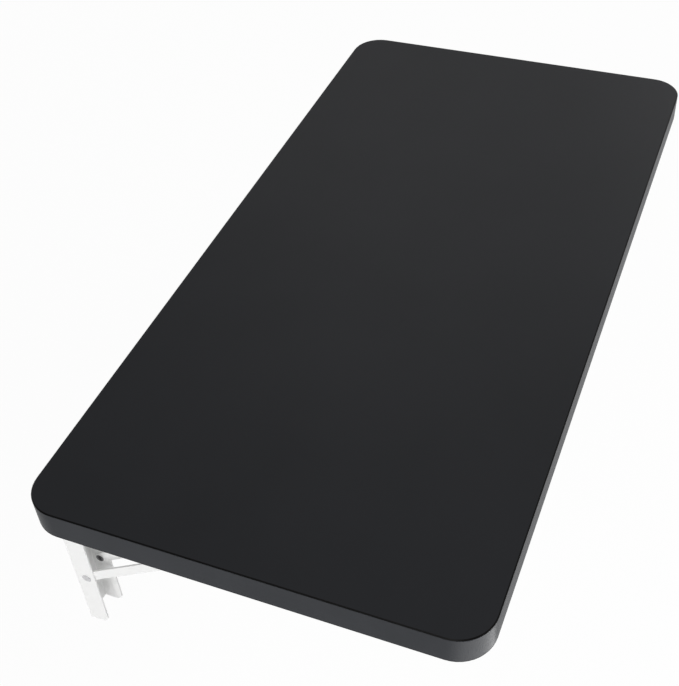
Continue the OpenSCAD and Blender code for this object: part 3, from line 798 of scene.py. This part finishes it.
def screw_blank(total):
    """A bmesh of one screw without its recess: its head starts at z = 0 and its tip points up to total."""
    head = [(0.0, 0.0), (0.0, HEAD_FLAT_R)] + arc(HEAD_ROUND, HEAD_R - HEAD_ROUND, HEAD_ROUND, 180, 90)
    threads = []
    along = HEAD_H + PLAIN_NECK
    rise, top, fall = THREAD_RIDGE
    while along < total - TIP_H:
        threads += [(along, THREAD_CORE_R), (along + rise, SHANK_R), (along + top, SHANK_R),
                    (along + fall, THREAD_CORE_R)]
        along += THREAD_PITCH
    tip = [(total - TIP_H, THREAD_CORE_R), (total, TIP_R), (total, 0.0)]
    solid = bmesh.new()
    spin(solid, head + [(HEAD_H, HEAD_R), (HEAD_H, SHANK_R)] + threads + tip, (0, 0, 0), (0, 0, 1), SCREW_STEPS)
    bmesh.ops.recalc_face_normals(solid, faces=solid.faces)
    return solid


def cross_blade():
    """A bmesh of the two crossed blades that cut the recess."""
    blades = bmesh.new()
    for along_x in (True, False):
        for v in bmesh.ops.create_cube(blades, size=1.0)["verts"]:
            deep = v.co.z > 0
            reach = 2 * RECESS_R * (RECESS_TAPER if deep else 1.0)
            wide, thin = (reach, RECESS_W) if along_x else (RECESS_W, reach)
            v.co = Vector((v.co.x * wide, v.co.y * thin, RECESS_DEEP if deep else -1.0)) * MM
    return blades


def placed(name, mesh):
    """An object in the scene that holds the bmesh."""
    data = bpy.data.meshes.new(name)
    mesh.to_mesh(data)
    mesh.free()
    thing = bpy.data.objects.new(name, data)
    scene.collection.objects.link(thing)
    return thing


def cut_screw(total):
    """Mesh of one screw with its cross recess."""
    blank = placed("screw_blank", screw_blank(total))
    cutter = placed("cross_blade", cross_blade())
    cut = blank.modifiers.new("cut", "BOOLEAN")
    cut.operation = "DIFFERENCE"
    cut.object = cutter
    cut.solver = "EXACT"
    cut.use_self = True
    result = bpy.data.meshes.new_from_object(blank.evaluated_get(bpy.context.evaluated_depsgraph_get()))
    for o in (blank, cutter):
        bpy.data.objects.remove(o)
    return result


low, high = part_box("left_board_screws")
screw_mesh = cut_screw((high.z - low.z) / MM)
print("one screw has", len(screw_mesh.polygons), "faces")

# %% [markdown]
# The screw's mesh is copied to all six places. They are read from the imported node, whose three solids are told
# apart by their Y. Each copy is turned to another angle, because a real screw stops wherever it is tight.

# %% Set the board screws
FIRST_TURN, NEXT_TURN = 25, 37  # degrees


def screw_places(node_name):
    """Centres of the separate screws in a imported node, from the room side to the wall."""
    spots = []
    for vertex in nodes[node_name].data.vertices:
        near = [s for s in spots if abs(s[0] - vertex.co.y) < 2 * HEAD_R * MM]
        if near:
            near[0][1].append(vertex.co.y)
        else:
            spots.append((vertex.co.y, [vertex.co.y]))
    return sorted((min(ys) + max(ys)) / 2 for _, ys in spots)


for side_name in SIDES:
    node_name = f"{side_name}_board_screws"
    low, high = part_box(node_name)
    places = screw_places(node_name)
    mesh = bmesh.new()
    for i, y in enumerate(places):
        one = screw_mesh.copy()
        turn = Matrix.Rotation(math.radians(FIRST_TURN + NEXT_TURN * i), 4, "Z")
        one.transform(Matrix.Translation(((low.x + high.x) / 2, y, low.z)) @ turn)
        mesh.from_mesh(one)
    finish_piece(mesh, node_name + "_cut", zinc, "table", "zinc", node_name, smooth_deg=30)
    print(node_name, "at y =", [round(y, 3) for y in places])

# %% [markdown]
# ## Return springs
#
# Under each arm a small torsion spring sits on the lever's pin: five turns of 0.7 mm wire, one leg down on the
# finger tab and one up under the arm's wall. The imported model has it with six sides. Here the same path is a
# smooth curve with a round bevel: a helix whose legs leave at its tangents, so the turns keep their gaps. A Screw
# modifier could wind the coil, but not its two different legs.

# %% Return springs
WIRE_R = 0.35
COIL_R = 2.3
COIL_PITCH = 1.2
TURNS = 5
COIL_STEPS = 24
TAB_LEG = (24.0, -8.09)  # ends of the legs, as (outward, up) from the lever's pin
WALL_LEG = (-11.0, -5.15)
WALL_LEG_SIDE = 7.25  # how far across the second leg's bent end reaches
BEND = 0.8
BEND_SIDE = 1.0


def tangent_turn(leg, side):
    """Angle at which a straight leg that ends at this point leaves the coil: side, 1 or -1, picks the tangent."""
    return math.atan2(leg[1], leg[0]) + side * math.acos(COIL_R / math.hypot(*leg))


def spring_points():
    """Centre line of the spring as (across, outward, up) in millimetres from the lever's pin."""
    start = tangent_turn(TAB_LEG, 1)
    stop = 2 * math.pi * (TURNS + 1) + tangent_turn(WALL_LEG, -1)
    half = COIL_PITCH * (stop - start) / (4 * math.pi)
    count = COIL_STEPS * (TURNS + 1)
    coil = []
    for i in range(count + 1):
        angle = start + (stop - start) * i / count
        coil.append((half - 2 * half * i / count, COIL_R * math.cos(angle), COIL_R * math.sin(angle)))
    leg_out, leg_up = WALL_LEG
    hook = [(-half - BEND_SIDE, leg_out - BEND, leg_up), (-WALL_LEG_SIDE, leg_out - 2 * BEND, leg_up)]
    return [(half, *TAB_LEG)] + coil + [(-half, *WALL_LEG)] + hook


path = spring_points()
for side_name in SIDES:
    pivot = joint_at[f"{side_name}_lever_press"]
    curve = bpy.data.curves.new(f"{side_name}_spring_wire", "CURVE")
    curve.dimensions = "3D"
    curve.bevel_depth = WIRE_R * MM
    curve.bevel_resolution = 4
    curve.use_fill_caps = True
    line = curve.splines.new("POLY")
    line.points.add(len(path) - 1)
    for point, (across, outward, up) in zip(line.points, path):
        spot = pivot + Vector((OUTWARD[side_name] * across, -outward, up)) * MM
        point.co = (*spot, 1)
    curve.materials.append(spring_wire)
    spring = bpy.data.objects.new(f"{side_name}_spring_wire", curve)
    scene.collection.objects.link(spring)
    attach(spring, f"{side_name}_lever")
    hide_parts(f"{side_name}_lever_spring")
    print(spring.name, len(path), "points")
